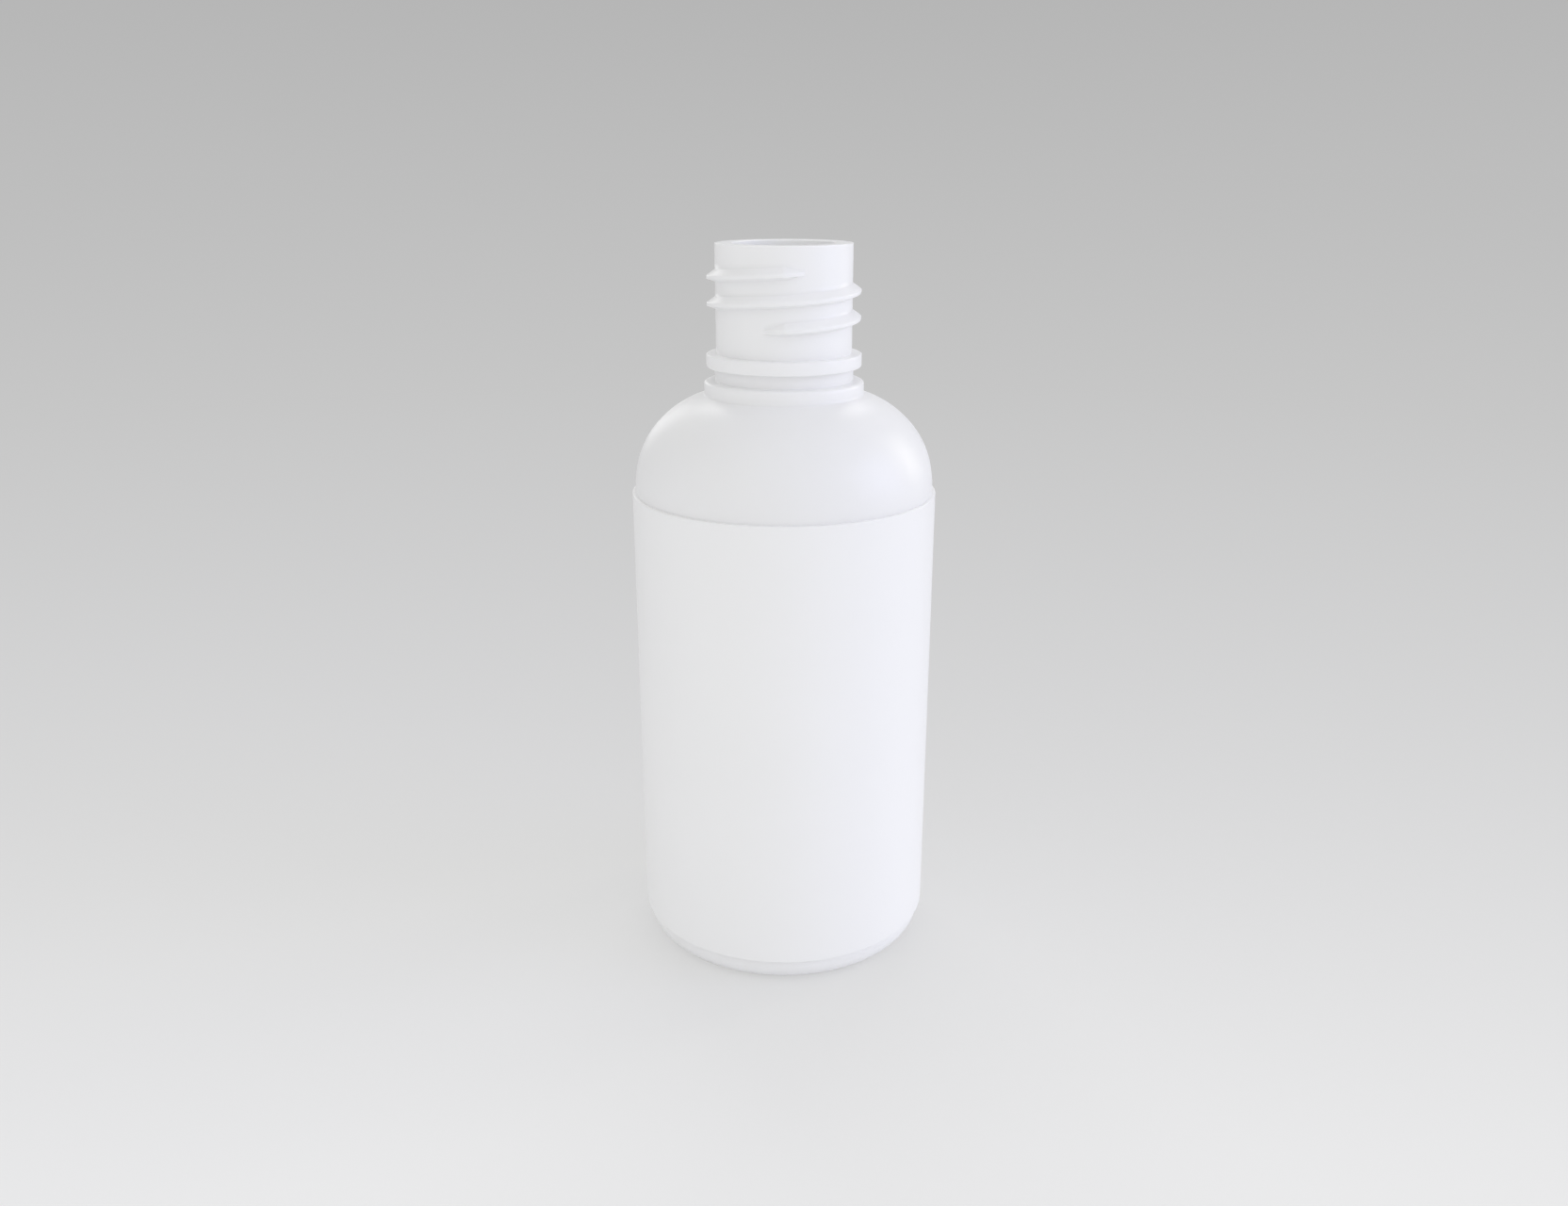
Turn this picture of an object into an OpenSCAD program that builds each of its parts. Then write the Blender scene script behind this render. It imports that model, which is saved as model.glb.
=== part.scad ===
// Small round plastic bottle with a screw neck, and the blank sleeve wrapped round its body.
// The bottle stands on z = 0 with its axis on +Z. The screw thread is right-handed, and both of
// its ends lie at the front, on the -Y side. The sleeve's seam is at the back, on the +Y side.

/* [Body] */
// Outside diameter of the straight body wall
body_d = 35.2; // [31:0.1:39]
// Height of the rim over the surface that the bottle stands on
total_h = 85.5; // [70:0.5:140]
// Thickness of the wall of the body and the shoulder
wall_t = 1.1; // [0.8:0.1:1.6]
// Radius of the shoulder's round
shoulder_r = 11.1; // [9:0.1:14]
// Radius of the corner between the body wall and the base
heel_r = 2.6; // [2:0.1:4]

/* [Base] */
// Thickness of the base
base_t = 1.3; // [0.8:0.1:2.5]
// Width of the flat ring that the bottle stands on
land_w = 1.6; // [1:0.1:3]
// Rise of the hollow under the base at its middle
push_up_h = 1.8; // [0.8:0.1:3]
// Radius of the blend between the standing ring and the hollow
land_edge_r = 1; // [0.4:0.1:2]
// Diameter of the round gate mark in the middle of the hollow
gate_d = 3; // [1.5:0.1:6]
// Height of the gate mark
gate_t = 0.2; // [0.1:0.05:0.4]

/* [Neck] */
// Height of the rim over the shoulder, where the neck ring stands
neck_h = 17; // [15.5:0.1:20]
// Outside diameter of the plain neck wall
neck_d = 15.6; // [14:0.1:17]
// Outside diameter of the neck's thicker foot, between the ring and the bead
collar_d = 16; // [14.4:0.1:16.6]
// Diameter of the mouth's bore
mouth_d = 11.8; // [9:0.1:13]
// Radius on the inner and outer edges of the rim
rim_edge_r = 0.15; // [0.05:0.05:0.4]
// Radius where the bore opens into the shoulder
throat_r = 1.5; // [0.5:0.1:3]

/* [Neck ring] */
// Outside diameter of the ring at the foot of the neck
ring_d = 18.5; // [17.6:0.1:21]
// Height of the ring over the shoulder
ring_h = 1.6; // [1.2:0.1:3]
// Radius on the ring's upper edge
ring_edge_r = 0.4; // [0.1:0.05:0.6]
// Radius of the fillet between the ring and the shoulder
ring_foot_r = 0.3; // [0.1:0.05:0.6]

/* [Bead] */
// Outside diameter of the bead between the thread and the ring
bead_d = 17.9; // [16.8:0.1:20]
// Thickness of the bead
bead_t = 1.5; // [0.8:0.1:2.2]
// Height of the groove between the ring and the bead
bead_gap = 1.6; // [0.8:0.1:2.4]
// Radius on the bead's edges
bead_edge_r = 0.1; // [0.05:0.05:0.3]

/* [Thread] */
// Outside diameter over the thread's crest
thread_d = 17.6; // [16.6:0.1:20]
// Rise of the thread in one turn
thread_pitch = 3; // [2.4:0.1:3.5]
// Number of turns of full depth
thread_turns = 2; // [1:0.25:2.25]
// Distance from the rim down to the middle of the crest, where the full depth ends at the top
thread_drop = 3.05; // [2.4:0.05:3.6]
// Width of the crest
thread_crest_w = 0.4; // [0.2:0.05:0.8]
// Width of the chamfer on each edge of the crest
thread_edge = 0.06; // [0.02:0.01:0.1]
// Slope of the thread's upper flank from level, in degrees
upper_flank = 35; // [20:1:45]
// Slope of the thread's underside from level, in degrees
lower_flank = 18; // [5:1:30]
// Angle over which each end of the thread fades into the neck, in degrees
thread_fade = 17; // [8:1:45]

/* [Label sleeve] */
// Thickness of the sleeve
sleeve_t = 0.37; // [0.1:0.01:0.6]
// Glue gap between the sleeve and the body wall
sleeve_gap = 0.03; // [0.01:0.01:0.1]
// Bare strip of straight wall left over and under the sleeve
sleeve_margin = 0.6; // [0:0.1:6]
// Gap between the sleeve's two ends at the back
seam_w = 1.2; // [0.4:0.1:6]
// Radius on the sleeve's corners beside the seam
sleeve_corner_r = 1.5; // [0.5:0.1:4]

/* [Hidden] */
$fn = 96;

// Overrun of a cut past the face that it opens
overrun = 0.5;
// How far a round reaches over the faces that it blends, as a share of its radius
bite_share = 0.002;
// Depth to which the thread's root is sunk into the neck wall
thread_sink = 0.2;
// Rings of points in one turn of the thread, and in each fading end
turn_steps = 72;
fade_steps = 5;
// How far past the neck's surface each fading end goes on, as a share of the fade
fade_extra_share = 0.05;
// Azimuth of the thread's lower end, and of the sleeve's seam
thread_start = -90;
seam_azimuth = 90;

body_r = body_d / 2;
inner_r = body_r - wall_t;
neck_r = neck_d / 2;
collar_r = collar_d / 2;
mouth_r = mouth_d / 2;
ring_r = ring_d / 2;
bead_r = bead_d / 2;
land_out_r = body_r - heel_r;
land_in_r = land_out_r - land_w;

// Foot of the neck, foot of the bead and centre of the shoulder's round
neck_z = total_h - neck_h;
bead_z = neck_z + ring_h + bead_gap;
round_r = body_r - shoulder_r;
round_z = neck_z - sqrt(pow(shoulder_r, 2) - pow(ring_r - round_r, 2));

// Sphere of the hollow under the base
dome_r = (pow(land_in_r, 2) + pow(push_up_h, 2)) / (2 * push_up_h);
dome_z = push_up_h - dome_r;

thread_depth = thread_d / 2 - neck_r;

// Outline between two corners
module block(low, high) {
    translate(low) square(high - low);
}

// Distance from a face to the centre of a round of radius r that runs into it
function seat(r) = r * (1 - bite_share);

// What a round of radius r takes off the solid corner at c, whose open side is towards s
module corner_waste(c, s, r) {
    m = c - seat(r) * s;
    open = c + overrun * s;
    difference() {
        polygon([m, [open[0], m[1]], open, [m[0], open[1]]]);
        translate(m) circle(r);
    }
}

// Fillet between an upright wall of radius wall_r and a shoulder round of radius arc_r
module foot_fillet(wall_r, arc_r, r) {
    c_r = wall_r + seat(r);
    reach = max(0, c_r - round_r);
    rise = sqrt(pow(arc_r + seat(r), 2) - pow(reach, 2));
    c = [c_r, round_z + rise];
    deep = c - 2 * r / (arc_r + r) * [reach, rise];
    difference() {
        polygon([[wall_r - r, c[1]], c, deep, [wall_r - r, deep[1]]]);
        translate(c) circle(r);
    }
}

// Quarter disc of a shoulder round of radius r, with its fill down to the axis
module shoulder_half(r) {
    intersection() {
        translate([round_r, round_z]) circle(r);
        block([round_r, round_z], [round_r + r, round_z + r]);
    }
    block([0, round_z], [round_r, round_z + r]);
}

// Disc with its lower corner rounded, as the body has at its foot
module heel_half(r_out, z_low, r, z_top) {
    block([0, z_low], [r_out - r, z_top]);
    block([0, z_low + r], [r_out, z_top]);
    translate([r_out - r, z_low + r]) circle(r);
}

// Outline of the outside, from the axis out
module outside_half() {
    heel_half(body_r, 0, heel_r, round_z);
    shoulder_half(shoulder_r);
    difference() {
        block([0, round_z], [ring_r, neck_z + ring_h]);
        corner_waste([ring_r, neck_z + ring_h], [1, 1], ring_edge_r);
    }
    foot_fillet(ring_r, shoulder_r, ring_foot_r);
    block([0, neck_z], [collar_r, bead_z + bead_t / 2]);
    difference() {
        block([0, neck_z], [neck_r, total_h]);
        corner_waste([neck_r, total_h], [1, 1], rim_edge_r);
    }
    difference() {
        block([0, bead_z], [bead_r, bead_z + bead_t]);
        corner_waste([bead_r, bead_z + bead_t], [1, 1], bead_edge_r);
        corner_waste([bead_r, bead_z], [1, -1], bead_edge_r);
    }
}

// Outline of the inside, from the axis out
module inside_half() {
    difference() {
        heel_half(inner_r, base_t, heel_r - wall_t, round_z);
        translate([0, dome_z]) circle(dome_r + base_t);
    }
    shoulder_half(shoulder_r - wall_t);
    foot_fillet(mouth_r, shoulder_r - wall_t, throat_r);
    block([0, round_z], [mouth_r, total_h + overrun]);
    corner_waste([mouth_r, total_h], [-1, 1], rim_edge_r);
}

// Outline of the hollow under the base, with its blend into the standing ring
module hollow_half() {
    away = dome_r + seat(land_edge_r);
    up = seat(land_edge_r) - dome_z;
    c = [sqrt(pow(away, 2) - pow(up, 2)), seat(land_edge_r)];
    deep = c - 2 * land_edge_r / away * [c[0], up];
    translate([0, dome_z]) circle(dome_r);
    difference() {
        polygon([[c[0], -land_edge_r], c, deep, [deep[0], -land_edge_r]]);
        translate(c) circle(land_edge_r);
    }
}

// Height of the crest over the neck wall at angle a along the thread
function depth_at(a) =
    thread_depth * min(1, 1 + a / thread_fade, 1 + (360 * thread_turns - a) / thread_fade);

// The thread's section at angle a, from its upper root round the crest to its lower root
function section_at(a) =
    let (
        d = depth_at(a),
        z = total_h - thread_drop - thread_pitch * (thread_turns - a / 360),
        top = thread_crest_w / 2,
        up = (d + thread_sink) * tan(upper_flank),
        down = (d + thread_sink) * tan(lower_flank)
    ) [
        [neck_r - thread_sink, z + top + up],
        [neck_r + d - thread_edge, z + top + thread_edge * tan(upper_flank)],
        [neck_r + d, z + top - thread_edge],
        [neck_r + d, z - top + thread_edge],
        [neck_r + d - thread_edge, z - top - thread_edge * tan(lower_flank)],
        [neck_r - thread_sink, z - top - down],
    ];

// Right-handed thread: sections swept up the neck, sunk into its wall and faded at both ends
module thread() {
    end = thread_fade * (1 + fade_extra_share);
    angles = concat(
        [for (i = [0 : fade_steps - 1]) -end * (1 - i / fade_steps)],
        [for (i = [0 : turn_steps * thread_turns]) 360 * i / turn_steps],
        [for (i = [1 : fade_steps]) 360 * thread_turns + end * i / fade_steps]
    );
    n = len(section_at(0));
    last = len(angles) - 1;
    points = [
        for (a = angles) for (p = section_at(a))
            [p[0] * cos(a + thread_start), p[0] * sin(a + thread_start), p[1]]
    ];
    sides = [
        for (i = [0 : last - 1]) for (j = [0 : n - 1])
            let (k = (j + 1) % n, low = i * n, high = low + n)
            each [[low + j, high + j, low + k], [high + j, high + k, low + k]]
    ];
    caps = [
        [for (j = [0 : n - 1]) j],
        [for (j = [n - 1 : -1 : 0]) last * n + j],
    ];
    polyhedron(points, concat(sides, caps));
}

module bottle() {
    color([0.93, 0.93, 0.94]) union() {
        rotate_extrude() difference() {
            outside_half();
            inside_half();
            hollow_half();
        }
        thread();
        translate([0, 0, push_up_h - gate_t]) cylinder(d = gate_d, h = gate_t + base_t / 2);
    }
}

// Slot between the sleeve's ends, which opens out over rounded corners at both of its mouths
module seam_slot(low, high) {
    r = sleeve_corner_r;
    half_mouth = seam_w / 2 + r;
    block([-seam_w / 2, low - overrun], [seam_w / 2, high + overrun]);
    difference() {
        union() {
            block([-half_mouth, low - overrun], [half_mouth, low + r]);
            block([-half_mouth, high - r], [half_mouth, high + overrun]);
        }
        for (side = [-1, 1], z = [low + r, high - r]) translate([side * half_mouth, z]) circle(r);
    }
}

module label_sleeve() {
    low = heel_r + sleeve_margin;
    high = round_z - sleeve_margin;
    in_r = body_r + sleeve_gap;
    out_r = in_r + sleeve_t;
    color([0.97, 0.97, 0.98]) difference() {
        rotate_extrude() block([in_r, low], [out_r, high]);
        rotate([90, 0, seam_azimuth + 90]) linear_extrude(out_r + overrun) seam_slot(low, high);
    }
}

bottle();
label_sleeve();
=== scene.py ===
# A small round white plastic bottle with a screw neck, and the blank label wrapped round it.
# Lengths are in millimetres and angles in degrees, and MM turns the lengths into metres.
# Angles round the bottle count from the front, where the thread begins, towards the right.
import math

import bmesh
import bpy
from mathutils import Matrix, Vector


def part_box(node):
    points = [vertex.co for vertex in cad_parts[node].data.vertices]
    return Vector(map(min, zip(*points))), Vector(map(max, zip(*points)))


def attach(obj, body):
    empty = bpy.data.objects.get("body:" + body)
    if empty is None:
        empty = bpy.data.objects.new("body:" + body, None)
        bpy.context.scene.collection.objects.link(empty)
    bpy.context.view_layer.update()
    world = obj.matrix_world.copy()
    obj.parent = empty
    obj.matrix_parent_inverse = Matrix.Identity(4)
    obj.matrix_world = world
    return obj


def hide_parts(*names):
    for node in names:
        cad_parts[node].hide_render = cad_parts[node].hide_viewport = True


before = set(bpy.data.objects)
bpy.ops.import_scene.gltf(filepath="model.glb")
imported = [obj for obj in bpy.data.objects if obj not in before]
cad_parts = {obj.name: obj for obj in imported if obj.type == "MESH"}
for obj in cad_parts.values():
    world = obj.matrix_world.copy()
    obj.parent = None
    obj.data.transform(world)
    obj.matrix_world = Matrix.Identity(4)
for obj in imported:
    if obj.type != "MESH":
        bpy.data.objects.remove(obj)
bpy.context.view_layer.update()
MM = 0.001


# The bottle is one moulding of white polyethylene, blown inside a two-part mould.
# Its neck is pressed to size round a core rod, so the thread and the rings are crisp. The mould
# leaves a fine line down each side, and the gate leaves a small round mark under the base.
bottle_low, bottle_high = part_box("bottle")
body_r = bottle_high.x / MM
rim_z = bottle_high.z / MM
wall_t = 1.1
shoulder_r = 11.1
heel_r = 2.6
heel_steps = 12
shoulder_steps = 32

base_t = 1.3
land_in_r = 13.4
land_blend = 0.5
push_up_h = 1.8
dome_steps = 12
gate_r = 1.5
gate_t = 0.2
gate_edge = 0.06

neck_h = 17
neck_r = 7.8
collar_r = 8
mouth_r = 5.9
rim_edge = 0.16
root_blend = 0.12
throat_blend = 1.3
throat_angle = 76
ring_r = 9.25
ring_h = 1.6
ring_edge = 0.45
ring_foot = 0.3
ring_foot_angle = 2
bead_r = 8.95
bead_t = 1.5
bead_gap = 1.6
bead_edge = 0.14

thread_r = 8.8
thread_pitch = 3
thread_turns = 2
thread_drop = 3.05
thread_crest_w = 0.4
thread_edge = 0.1
upper_flank = 35
lower_flank = 18
thread_fade = 17

mould_line_h = 0.05
mould_line_w = 0.11
mould_line_angles = [90, 270]
mould_line_reach = 1.6
mould_line_columns = 16
bottle_columns = 288
neck_rows = 4
corner_steps = 4
blend_share = 0.45
weld_gap = 0.0005

neck_z = rim_z - neck_h
bead_z = neck_z + ring_h + bead_gap
bead_top_z = bead_z + bead_t
round_r = body_r - shoulder_r
round_z = neck_z - math.sqrt(shoulder_r**2 - (ring_r - round_r) ** 2)
dome_r = (land_in_r**2 + push_up_h**2) / (2 * push_up_h)
thread_foot_z = rim_z - thread_drop - thread_pitch * thread_turns
thread_depth = thread_r - neck_r


def arc(middle_r, middle_z, radius, start, end, steps):
    """Outline points on a circle, between two angles above level."""
    points = []
    for i in range(steps + 1):
        angle = math.radians(start + (end - start) * i / steps)
        points.append((middle_r + radius * math.cos(angle), middle_z + radius * math.sin(angle)))
    return points


def dome(radius, lift, start_r, end_r):
    """Outline points on the push-up of the base, between two distances from the axis."""
    points = []
    for i in range(dome_steps + 1):
        r = start_r + (end_r - start_r) * i / dome_steps
        points.append((r, lift - radius + math.sqrt(radius**2 - r**2)))
    return points


def softened(corners):
    """The outline through the corners. A corner with a third number is blended over that
    distance along both of its legs, with the same count of points even where it is zero."""
    points = []
    for i, corner in enumerate(corners):
        if len(corner) == 2:
            points.append(corner)
            continue
        r, z, reach = corner
        ends = []
        for near in (corners[i - 1], corners[i + 1]):
            leg = math.hypot(near[0] - r, near[1] - z)
            share = min(reach / leg, blend_share) if leg > 0 else 0
            ends.append((r + (near[0] - r) * share, z + (near[1] - z) * share))
        for j in range(corner_steps + 1):
            t = j / corner_steps
            a, b, c = (1 - t) ** 2, 2 * t * (1 - t), t * t
            points.append(
                (a * ends[0][0] + b * r + c * ends[1][0], a * ends[0][1] + b * z + c * ends[1][1])
            )
    return points


def thread_corners(angle, low_z, high_z):
    """The thread's four corners at an angle along it. Beyond its ends the thread has no height,
    and its corners gather on the wall at low_z or high_z over the rest of the turn."""
    run = 360 * thread_turns
    rise = max(0, min(1, 1 + angle / thread_fade, 1 + (run - angle) / thread_fade))
    depth = thread_depth * rise
    z = thread_foot_z + thread_pitch * angle / 360
    crest = thread_crest_w / 2
    under = z - crest - depth * math.tan(math.radians(lower_flank))
    over = z + crest + depth * math.tan(math.radians(upper_flank))
    spread, home = 1, z
    if angle < -thread_fade:
        spread, home = (angle + 360) / (360 - thread_fade), low_z
    if angle > run + thread_fade:
        spread, home = (run + 360 - angle) / (360 - thread_fade), high_z
    corners = []
    for r, at, reach in (
        (neck_r, under, root_blend),
        (neck_r + depth, z - crest, thread_edge),
        (neck_r + depth, z + crest, thread_edge),
        (neck_r, over, root_blend),
    ):
        at = min(high_z, max(low_z, home + (at - home) * spread))
        corners.append((r, at, reach * rise))
    return corners


def threaded_wall(turn):
    """Corners up the neck wall from the bead to the rim, at an angle round the bottle."""
    low_z = bead_top_z + root_blend
    high_z = rim_z - rim_edge
    corners = []
    last_z = low_z
    for k in range(-1, thread_turns + 1):
        thread = thread_corners(turn + 360 * k, low_z, high_z)
        for row in range(neck_rows):
            corners.append((neck_r, last_z + (thread[0][1] - last_z) * row / neck_rows))
        corners += thread
        last_z = thread[-1][1]
    for row in range(neck_rows + 1):
        corners.append((neck_r, last_z + (high_z - last_z) * row / neck_rows))
    return corners


def outside_corners(turn):
    """Corners of the outside, from the gate mark out over the base and up to the rim."""
    ring_angle = math.degrees(math.acos((ring_r - round_r) / shoulder_r))
    return [
        (0, push_up_h - gate_t),
        (gate_r, push_up_h - gate_t, gate_edge),
        (gate_r, dome(dome_r, push_up_h, gate_r, gate_r)[0][1], gate_edge),
        *dome(dome_r, push_up_h, gate_r + 2 * gate_edge, land_in_r - 2 * land_blend),
        (land_in_r, 0, land_blend),
        *arc(body_r - heel_r, heel_r, heel_r, -90, 0, heel_steps),
        *arc(round_r, round_z, shoulder_r, 0, ring_angle - ring_foot_angle, shoulder_steps),
        (ring_r, neck_z, ring_foot),
        (ring_r, neck_z + ring_h, ring_edge),
        (collar_r, neck_z + ring_h, root_blend),
        (collar_r, bead_z, root_blend),
        (bead_r, bead_z, bead_edge),
        (bead_r, bead_top_z, bead_edge),
        (neck_r, bead_top_z, root_blend),
        *threaded_wall(turn),
        (neck_r, rim_z, rim_edge),
        ((neck_r + mouth_r) / 2, rim_z),
    ]


def inside_corners():
    """Corners of the inside, from the rim down the bore and out over the floor to the axis."""
    inner_r = body_r - wall_t
    floor_r = inner_r - (heel_r - wall_t)
    return [
        (mouth_r, rim_z, rim_edge),
        (mouth_r, neck_z + ring_h),
        (mouth_r, round_z + shoulder_r - wall_t, throat_blend),
        *arc(round_r, round_z, shoulder_r - wall_t, throat_angle, 0, shoulder_steps),
        *arc(floor_r, heel_r, heel_r - wall_t, 0, -90, heel_steps),
        *dome(dome_r + base_t, push_up_h + base_t, land_in_r, 0),
    ]


def bottle_turns():
    """Angles of the columns round the bottle, with more of them beside the mould lines."""
    turns = {360 * i / bottle_columns for i in range(bottle_columns + 1)}
    for line in mould_line_angles:
        for i in range(-mould_line_columns, mould_line_columns + 1):
            turns.add(line + mould_line_reach * i / mould_line_columns)
    return sorted(turns)


def bottle_column(turn):
    """The whole outline at an angle round the bottle, with the mould line raised on it."""
    points = []
    for r, z in softened(outside_corners(turn)):
        raised = 0
        for line in mould_line_angles:
            away = math.radians(turn - line) * r / mould_line_w
            raised += mould_line_h * math.exp(-(away**2)) * min(1, z / heel_r)
        points.append((r + raised if r > gate_r else r, z))
    return points + softened([(neck_r, rim_z), *inside_corners(), (0, 0)])[1:-1]


def turned(name, turns, columns, closed):
    """A mesh of columns of (r, z) points, each standing at its own angle round the axis."""
    shape = bmesh.new()
    rows = []
    for turn, column in zip(turns, columns):
        around = math.radians(turn - 90)
        x, y = math.cos(around), math.sin(around)
        rows.append([shape.verts.new((r * x * MM, r * y * MM, z * MM)) for r, z in column])
    for left, right in zip(rows, rows[1:]):
        for i in range(len(left) - 1):
            shape.faces.new((left[i], right[i], right[i + 1], left[i + 1]))
    if not closed:
        shape.faces.new(rows[0])
        shape.faces.new(list(reversed(rows[-1])))
    bmesh.ops.remove_doubles(shape, verts=shape.verts, dist=weld_gap * MM)
    bmesh.ops.recalc_face_normals(shape, faces=shape.faces)
    mesh = bpy.data.meshes.new(name)
    shape.to_mesh(mesh)
    shape.free()
    mesh.shade_smooth()
    piece = bpy.data.objects.new(name, mesh)
    bpy.context.scene.collection.objects.link(piece)
    return piece


turns = bottle_turns()
bottle = turned("bottle_moulding", turns, [bottle_column(t) for t in turns], closed=True)
bottle.modifiers.new("even shading", "WEIGHTED_NORMAL").keep_sharp = True
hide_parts("bottle")
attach(bottle, "root")


def add_node(tree, kind, values=None, **settings):
    """A shader node of a kind, with its sockets set, or linked where a value is a socket."""
    node = tree.nodes.new("ShaderNode" + kind)
    for setting, value in settings.items():
        setattr(node, setting, value)
    for socket, value in (values or {}).items():
        if isinstance(value, bpy.types.NodeSocket):
            tree.links.new(value, node.inputs[socket])
        else:
            node.inputs[socket].default_value = value
    return node


cloud_detail = 3
grain_detail = 2
wave_detail = 1
noise_middle = 0.5


def satin_surface_group():
    """The shared finish: faint cloudiness of the white, a varying shine, fine grain and slow
    waves. Sizes are the lengths of the features, and grain and waves have true heights."""
    group = bpy.data.node_groups.new("satin surface", "ShaderNodeTree")
    for name, kind in (
        ("Clear Tone", "Color"),
        ("Cloudy Tone", "Color"),
        ("Cloud Size", "Float"),
        ("Roughness", "Float"),
        ("Roughness Spread", "Float"),
        ("Grain Size", "Float"),
        ("Grain Height", "Float"),
        ("Wave Size", "Float"),
        ("Wave Height", "Float"),
    ):
        group.interface.new_socket(name, in_out="INPUT", socket_type="NodeSocket" + kind)
    for name, kind in (("Tone", "Color"), ("Roughness", "Float"), ("Height", "Float")):
        group.interface.new_socket(name, in_out="OUTPUT", socket_type="NodeSocket" + kind)
    given = group.nodes.new("NodeGroupInput").outputs
    result = group.nodes.new("NodeGroupOutput").inputs
    place = add_node(group, "TexCoord").outputs["Object"]

    def noise(size, detail):
        scale = add_node(group, "Math", {0: 1.0, 1: given[size]}, operation="DIVIDE").outputs[0]
        spots = {"Vector": place, "Scale": scale, "Detail": detail}
        return add_node(group, "TexNoise", spots).outputs["Fac"]

    def product(a, b):
        return add_node(group, "Math", {0: a, 1: b}, operation="MULTIPLY").outputs[0]

    clouds = noise("Cloud Size", cloud_detail)
    tones = {"Factor": clouds, 6: given["Clear Tone"], 7: given["Cloudy Tone"]}
    tone = add_node(group, "Mix", tones, data_type="RGBA").outputs[2]
    group.links.new(tone, result["Tone"])
    grain = noise("Grain Size", grain_detail)
    off_middle = {0: clouds, 1: noise_middle}
    off_middle = add_node(group, "Math", off_middle, operation="SUBTRACT").outputs[0]
    change = product(off_middle, given["Roughness Spread"])
    rough = add_node(group, "Math", {0: given["Roughness"], 1: change}, operation="ADD").outputs[0]
    group.links.new(rough, result["Roughness"])
    fine = product(grain, given["Grain Height"])
    slow = product(noise("Wave Size", wave_detail), given["Wave Height"])
    height = add_node(group, "Math", {0: fine, 1: slow}, operation="ADD").outputs[0]
    group.links.new(height, result["Height"])
    return group


def satin_material(name, finish, let_through=0.0, let_through_mm=1.0):
    """A material of the shared finish with its own values, and the finish's node inside it. The
    last two are the share of the light that goes into the plastic, and how far it spreads."""
    material = bpy.data.materials.new(name)
    material.use_nodes = True
    tree = material.node_tree
    tree.nodes.clear()
    skin = add_node(tree, "Group", node_tree=satin_surface)
    for socket, value in finish.items():
        skin.inputs[socket].default_value = value
    bump = add_node(tree, "Bump", {"Height": skin.outputs["Height"], "Distance": 1.0})
    shader = add_node(
        tree,
        "BsdfPrincipled",
        {
            "Base Color": skin.outputs["Tone"],
            "Roughness": skin.outputs["Roughness"],
            "Normal": bump.outputs["Normal"],
            "Subsurface Weight": let_through,
            "Subsurface Radius": (1, 1, 1),
            "Subsurface Scale": let_through_mm * MM,
        },
    )
    add_node(tree, "OutputMaterial", {"Surface": shader.outputs["BSDF"]})
    return material, skin


satin_surface = satin_surface_group()
plastic, plastic_skin = satin_material(
    "white bottle plastic",
    {
        "Clear Tone": (0.91, 0.91, 0.91, 1),
        "Cloudy Tone": (0.885, 0.885, 0.89, 1),
        "Cloud Size": 9 * MM,
        "Roughness Spread": 0.08,
        "Grain Size": 0.35 * MM,
        "Grain Height": 0.004 * MM,
        "Wave Size": 6 * MM,
        "Wave Height": 0.02 * MM,
    },
    let_through=0.13,
    let_through_mm=5,
)
blown_roughness = 0.36
neck_roughness = 0.3
tree = plastic.node_tree
place = add_node(tree, "TexCoord").outputs["Object"]
up = add_node(tree, "SeparateXYZ", {0: place}).outputs["Z"]
shine = {
    "Value": up,
    "From Min": neck_z * MM,
    "From Max": (neck_z + ring_h) * MM,
    "To Min": blown_roughness,
    "To Max": neck_roughness,
}
tree.links.new(add_node(tree, "MapRange", shine).outputs[0], plastic_skin.inputs["Roughness"])
bottle.data.materials.append(plastic)


# The label is a blank white film wrapped round the straight part of the wall, with its two ends
# a little apart at the back. It is glued all over, and film and glue together stand proud.
label_low, label_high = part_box("label_sleeve")
film_r = label_high.x / MM
film_low_z = label_low.z / MM
film_high_z = label_high.z / MM
glue_depth = 0.05
glue_r = body_r - glue_depth
film_edge = 0.12
film_edge_steps = 3
film_corner = 1.5
film_corner_steps = 8
film_rows = 12
film_columns = 288
film_sharp_angle = 40
seam_w = 1.2


def film_column(from_end):
    """The film's closed section at a distance along it from one of its ends."""
    cut = max(0, film_corner - from_end)
    lift = film_corner - math.sqrt(film_corner**2 - cut**2)
    low, high = film_low_z + lift, film_high_z - lift
    round_r = film_r - film_edge
    points = [(glue_r, low)]
    points += arc(round_r, low + film_edge, film_edge, -90, 0, film_edge_steps)
    first, last = low + film_edge, high - film_edge
    points += [(film_r, first + (last - first) * i / film_rows) for i in range(1, film_rows)]
    points += arc(round_r, last, film_edge, 0, 90, film_edge_steps)
    return points + [(glue_r, high), (glue_r, low)]


def film_stations():
    """Distances along the film from its left end, close together in its rounded corners."""
    length = math.radians(360) * film_r - seam_w
    corner = [
        film_corner * (1 - math.cos(math.radians(90 * i / film_corner_steps)))
        for i in range(film_corner_steps + 1)
    ]
    between = [length * (i + 0.5) / film_columns for i in range(film_columns)]
    between = [s for s in between if film_corner < s < length - film_corner]
    return corner + between + [length - s for s in reversed(corner)], length


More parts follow.
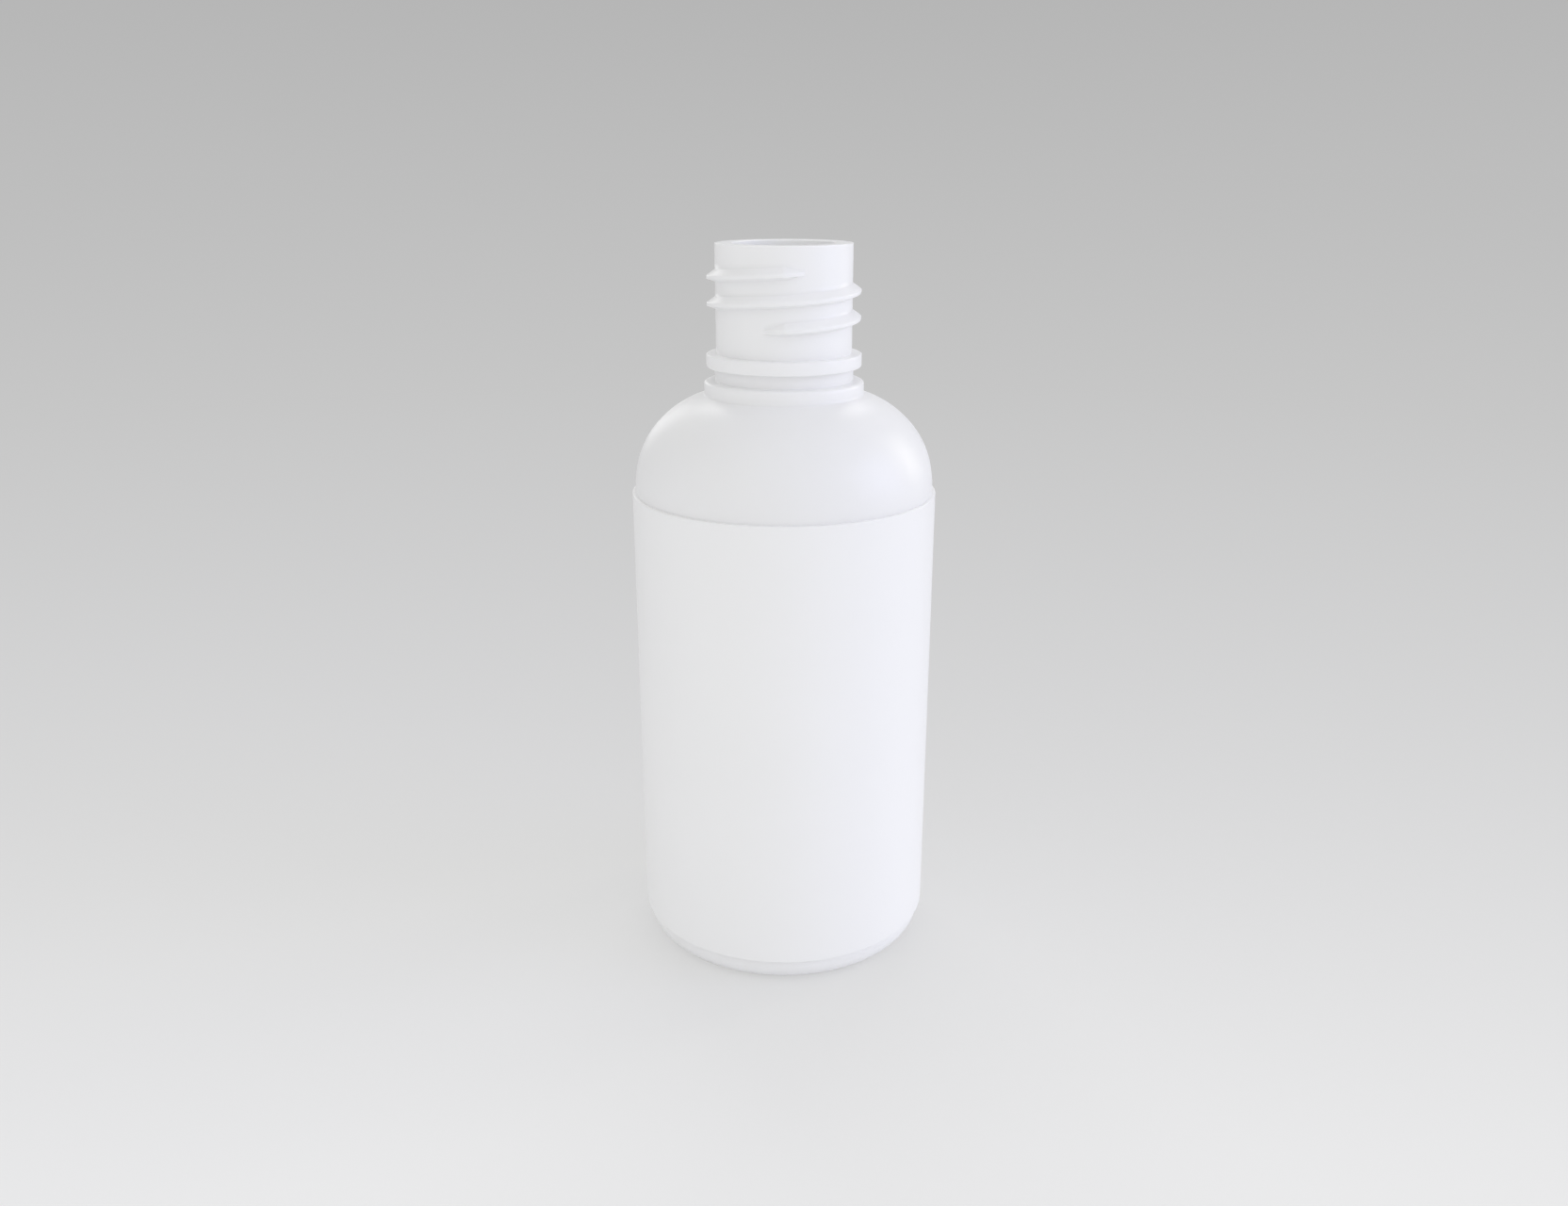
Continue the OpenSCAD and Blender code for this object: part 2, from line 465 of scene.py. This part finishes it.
stations, film_length = film_stations()
film_turns = [180 + math.degrees((seam_w / 2 + s) / film_r) for s in stations]
film_sections = [film_column(min(s, film_length - s)) for s in stations]
label = turned("label_film", film_turns, film_sections, closed=False)
label.data.set_sharp_from_angle(angle=math.radians(film_sharp_angle))
label.modifiers.new("even shading", "WEIGHTED_NORMAL").keep_sharp = True
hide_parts("label_sleeve")
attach(label, "root")

film = satin_material(
    "white label film",
    {
        "Clear Tone": (0.905, 0.905, 0.905, 1),
        "Cloudy Tone": (0.89, 0.89, 0.89, 1),
        "Cloud Size": 14 * MM,
        "Roughness": 0.34,
        "Roughness Spread": 0.05,
        "Grain Size": 0.22 * MM,
        "Grain Height": 0.0018 * MM,
        "Wave Size": 9 * MM,
        "Wave Height": 0.016 * MM,
    },
)[0]
label.data.materials.append(film)


# The bottle stands on a wide sheet of pale paper, in front of a grey wall. For the camera and
# gloss, the paper carries a painted pool of light. It is palest in front of the bottle and greyer
# further back, where it meets the wall. Near the bottle that tone is partly lit and keeps the
# bottle's shadow, and further out it is painted glow alone. Other light meets a white sheet of
# even tone.
floor_half = 20
floor_mesh = bpy.data.meshes.new("floor")
floor_corners = [(-1, -1, 0), (1, -1, 0), (1, 1, 0), (-1, 1, 0)]
floor_points = [Vector(corner) * floor_half for corner in floor_corners]
floor_mesh.from_pydata(floor_points, [], [(0, 1, 2, 3)])
floor = bpy.data.objects.new("floor", floor_mesh)
bpy.context.scene.collection.objects.link(floor)

far_tone = 0.511
# The painted pool of light on the paper: its strength, its brightest tone, where it centres and
# how it fades.
painted_pool_gain = 0.0326
painted_pool_peak = 0.83
painted_pool_peak_blend = 0.04
painted_pool_y = -0.095
painted_pool_round = 0.04
painted_pool_side_fade = 0.5
painted_pool_fall_off = 0.045
wall_top_tone = 0.468
wall_top_rise = 0.113
# How much of the paper the camera sees as painted glow: its share near the bottle, and the
# distances over which it grows to all of it.
painted_glow_near = 0.6
painted_glow_from = 0.1
painted_glow_at = 0.45
paper_grade = 1.08
paper_white = 0.9


def seen_rays(tree):
    """1 for the rays of the camera, of gloss and of clear materials, and 0 for all others."""
    rays = add_node(tree, "LightPath").outputs
    gloss = {0: rays["Is Camera Ray"], 1: rays["Is Glossy Ray"]}
    seen = add_node(tree, "Math", gloss, operation="ADD").outputs[0]
    seen = {0: seen, 1: rays["Is Transmission Ray"]}
    return add_node(tree, "Math", seen, operation="ADD", use_clamp=True).outputs[0]


paper = bpy.data.materials.new("pale paper with painted light")
paper.use_nodes = True
tree = paper.node_tree
tree.nodes.clear()
place = add_node(tree, "NewGeometry").outputs["Position"]
along = add_node(tree, "SeparateXYZ", {0: place})
back = {0: along.outputs["Y"], 1: painted_pool_y}
back = add_node(tree, "Math", back, operation="SUBTRACT").outputs[0]
back = add_node(tree, "CombineXYZ", {"Y": back, "Z": painted_pool_round}).outputs[0]
back = add_node(tree, "VectorMath", {0: back}, operation="LENGTH").outputs["Value"]
aside = {0: along.outputs["X"], 1: 2}
aside = add_node(tree, "Math", aside, operation="POWER").outputs[0]
away = {0: aside, 1: painted_pool_side_fade, 2: back}
away = add_node(tree, "Math", away, operation="MULTIPLY_ADD").outputs[0]
away = add_node(tree, "Math", {0: away, 1: painted_pool_fall_off}, operation="ADD").outputs[0]
# Painted pool of light: the tone rises towards a point in front of the bottle and fades to an even
# grey further out.
tone = add_node(tree, "Math", {0: painted_pool_gain, 1: away}, operation="DIVIDE").outputs[0]
tone = add_node(tree, "Math", {0: tone, 1: far_tone}, operation="ADD").outputs[0]
tone = {0: tone, 1: painted_pool_peak, 2: painted_pool_peak_blend}
tone = add_node(tree, "Math", tone, operation="SMOOTH_MIN").outputs[0]
graded_painted_pool = add_node(tree, "Math", {0: tone, 1: paper_grade}, operation="MULTIPLY").outputs[0]
seen = seen_rays(tree)
colour = {"Factor": seen, "A": paper_white, "B": graded_painted_pool}
lit = add_node(tree, "BsdfDiffuse", {"Color": add_node(tree, "Mix", colour).outputs[0]}).outputs[0]
# Painted glow: the camera and gloss see the paper's painted tone as emission. It is part of the
# paper near the bottle and all of it further out.
painted_glow = add_node(tree, "Emission", {"Color": tone}).outputs[0]
out = add_node(tree, "VectorMath", {0: place}, operation="LENGTH").outputs["Value"]
share = {0: out, 1: painted_glow_from, 2: painted_glow_at, 3: painted_glow_near, 4: 1.0}
share = {0: add_node(tree, "MapRange", share).outputs[0], 1: seen}
share = add_node(tree, "Math", share, operation="MULTIPLY").outputs[0]
both = add_node(tree, "MixShader", {0: share, 1: lit, 2: painted_glow}).outputs[0]
add_node(tree, "OutputMaterial", {"Surface": both})
floor_mesh.materials.append(paper)

# The light of the room comes from all round, a little more from low down and from the front.
room_level = 0.83
room_lean = (0, -0.26, -0.13)
world = bpy.data.worlds.new("soft studio")
bpy.context.scene.world = world
world.use_nodes = True
tree = world.node_tree
tree.nodes.clear()
direction = add_node(tree, "TexCoord").outputs["Generated"]
up = add_node(tree, "SeparateXYZ", {0: direction}).outputs["Z"]
wall = {0: up, 1: 0.0, 2: wall_top_rise, 3: far_tone, 4: wall_top_tone}
wall = add_node(tree, "Background", {"Color": add_node(tree, "MapRange", wall).outputs[0]})
lean = {0: direction, 1: room_lean}
lean = add_node(tree, "VectorMath", lean, operation="DOT_PRODUCT").outputs["Value"]
room = add_node(tree, "Math", {0: lean, 1: room_level}, operation="ADD").outputs[0]
room = add_node(tree, "Background", {"Color": room})
both = {0: seen_rays(tree), 1: room.outputs[0], 2: wall.outputs[0]}
both = add_node(tree, "MixShader", both).outputs[0]
add_node(tree, "OutputWorld", {"Surface": both})


def softbox(name, around, lift, width, height, level, colour=(1, 1, 1)):
    """A soft lamp that faces the bottle, at an angle round it from the front towards the right,
    and an angle of lift from level. Level is the brightness of its face."""
    away = math.cos(math.radians(lift))
    toward = Vector(
        (
            away * math.sin(math.radians(around)),
            -away * math.cos(math.radians(around)),
            math.sin(math.radians(lift)),
        )
    )
    light = bpy.data.lights.new(name, "AREA")
    light.shape = "RECTANGLE"
    light.size = width
    light.size_y = height
    light.energy = math.pi * width * height * level
    light.color = colour
    lamp = bpy.data.objects.new(name, light)
    lamp.location = Vector((0, 0, rim_z / 2 * MM)) + toward * softbox_distance
    lamp.rotation_mode = "QUATERNION"
    lamp.rotation_quaternion = (-toward).to_track_quat("-Z", "Y")
    lamp.visible_camera = False
    bpy.context.scene.collection.objects.link(lamp)


softbox_distance = 4
softbox("back softbox", 180, 40, 3.2, 1.07, 2.9)
softbox("right back strip", 120, 15, 0.8, 2, 3.6, (1, 0.96, 0.8))
softbox("left back strip", 205, 13, 0.8, 1.8, 1.6)
softbox("right softbox", 80, 18, 2.4, 2.4, 2.1, (0.62, 0.66, 1))

# The camera stands where the photograph was taken from.
camera_back = 151.1
camera_up = 93.1
camera_down_tilt = 18.47
camera_lens = 29.69
camera_sensor = 36
camera_data = bpy.data.cameras.new("camera")
camera_data.sensor_width = camera_sensor
camera_data.lens = camera_lens
camera_data.clip_start = 1 * MM
camera = bpy.data.objects.new("camera", camera_data)
camera.location = (0, -camera_back * MM, camera_up * MM)
camera.rotation_euler = (math.radians(90 - camera_down_tilt), 0, 0)
bpy.context.scene.collection.objects.link(camera)
bpy.context.scene.camera = camera
bpy.context.scene.view_settings.view_transform = "Standard"
